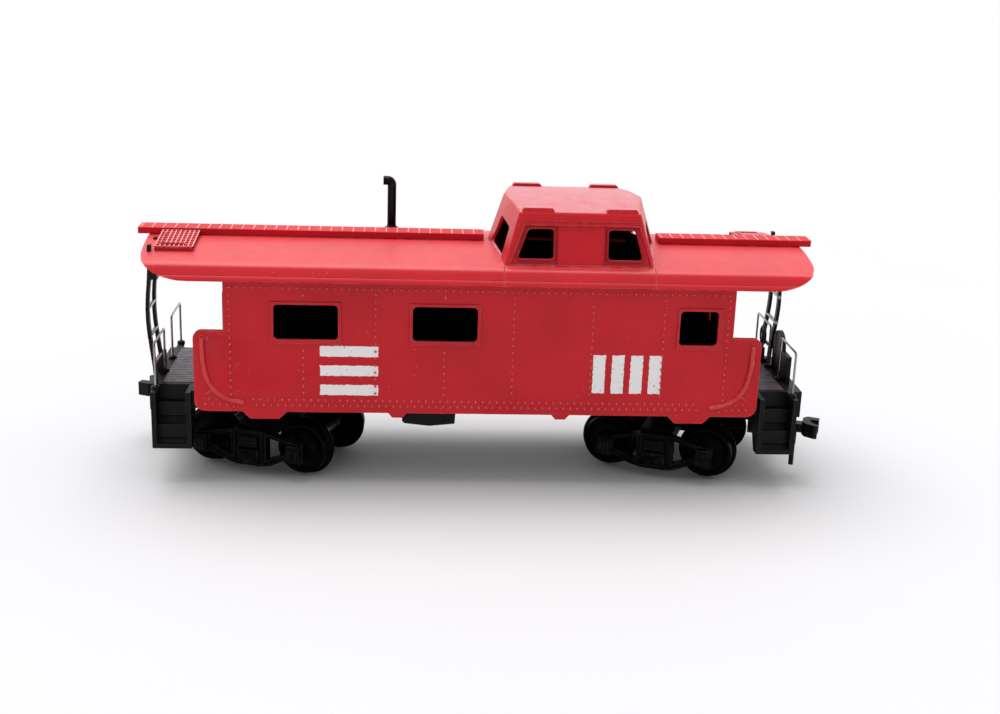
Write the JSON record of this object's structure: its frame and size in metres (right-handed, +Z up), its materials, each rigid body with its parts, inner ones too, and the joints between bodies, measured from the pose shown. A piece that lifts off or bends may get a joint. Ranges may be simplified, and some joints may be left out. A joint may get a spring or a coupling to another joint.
{
  "type": "model caboose",
  "caption": "HO scale toy cabin car: moulded body with offset lookout, end platforms, ladders and wire rails on swivelling trucks with horn-hook couplers.",
  "frame": {"origin": "middle of the car in plan, on the surface that the wheel flanges stand on", "axes": "+X along the car towards the brake wheel end, +Y to the far side, +Z up"},
  "size_m": [0.1348, 0.0378, 0.0548],
  "materials": {
    "red_plastic": "satin moulded red polystyrene, lightly scuffed",
    "black_plastic": "satin moulded black plastic",
    "wheel_plastic": "black plastic, polished on the tread",
    "rail_wire": "drawn steel wire",
    "steel": "plain steel"
  },
  "bodies": {
    "car": {"body_shell": "red_plastic", "roof": "red_plastic", "cupola": "red_plastic", "running_board_left": "red_plastic", "running_board_right": "red_plastic", "roof_step_left": "red_plastic", "roof_step_right": "red_plastic", "smokestack": "black_plastic", "underframe": "black_plastic", "end_ladder_left": "black_plastic", "end_ladder_right": "black_plastic", "brake_stand": "black_plastic", "brake_wheel": "black_plastic", "end_gate": "black_plastic", "handrail_left_near": "rail_wire", "handrail_left_far": "rail_wire", "handrail_right_near": "rail_wire", "handrail_right_far": "rail_wire", "weight_plate": "steel", "kingpin_left": "steel", "kingpin_right": "steel"},
    "truck_left": {"truck_frame_left": "black_plastic", "coupler_lid_left": "black_plastic"},
    "wheelset_left_outer": {"axle_left_outer": "steel", "wheel_left_outer_a": "wheel_plastic", "wheel_left_outer_b": "wheel_plastic"},
    "wheelset_left_inner": {"axle_left_inner": "steel", "wheel_left_inner_a": "wheel_plastic", "wheel_left_inner_b": "wheel_plastic"},
    "coupler_body_left": {"coupler_left": "black_plastic"},
    "truck_right": {"truck_frame_right": "black_plastic", "coupler_lid_right": "black_plastic"},
    "wheelset_right_outer": {"axle_right_outer": "steel", "wheel_right_outer_a": "wheel_plastic", "wheel_right_outer_b": "wheel_plastic"},
    "wheelset_right_inner": {"axle_right_inner": "steel", "wheel_right_inner_a": "wheel_plastic", "wheel_right_inner_b": "wheel_plastic"},
    "coupler_body_right": {"coupler_right": "black_plastic"}
  },
  "joints": [
    {"name": "truck_left_swivel", "type": "hinge", "parent": "car", "child": "truck_left", "pos_m": [-0.0388, 0, 0.0101], "axis": [0, 0, 1], "range_deg": [-2, 43]},
    {"name": "wheelset_left_outer_spin", "type": "hinge", "parent": "truck_left", "child": "wheelset_left_outer", "pos_m": [-0.04784, 0.00338, 0.00565], "axis": [0.3502, 0.9367, 0], "continuous": true},
    {"name": "wheelset_left_inner_spin", "type": "hinge", "parent": "truck_left", "child": "wheelset_left_inner", "pos_m": [-0.02976, -0.00338, 0.00565], "axis": [0.3502, 0.9367, 0], "continuous": true},
    {"name": "coupler_left_swing", "type": "hinge", "parent": "truck_left", "child": "coupler_body_left", "pos_m": [-0.05781, 0.00711, 0.01], "axis": [0, 0, 1], "range_deg": [-8, 8], "stiffness_Nm_per_rad": 0.0001},
    {"name": "truck_right_swivel", "type": "hinge", "parent": "car", "child": "truck_right", "pos_m": [0.0388, 0, 0.0101], "axis": [0, 0, 1], "range_deg": [-2, 43]},
    {"name": "wheelset_right_outer_spin", "type": "hinge", "parent": "truck_right", "child": "wheelset_right_outer", "pos_m": [0.04784, -0.00338, 0.00565], "axis": [0.3502, 0.9367, 0], "continuous": true},
    {"name": "wheelset_right_inner_spin", "type": "hinge", "parent": "truck_right", "child": "wheelset_right_inner", "pos_m": [0.02976, 0.00338, 0.00565], "axis": [0.3502, 0.9367, 0], "continuous": true},
    {"name": "coupler_right_swing", "type": "hinge", "parent": "truck_right", "child": "coupler_body_right", "pos_m": [0.05781, -0.00711, 0.01], "axis": [0, 0, 1], "range_deg": [-8, 8], "stiffness_Nm_per_rad": 0.0001}
  ]
}
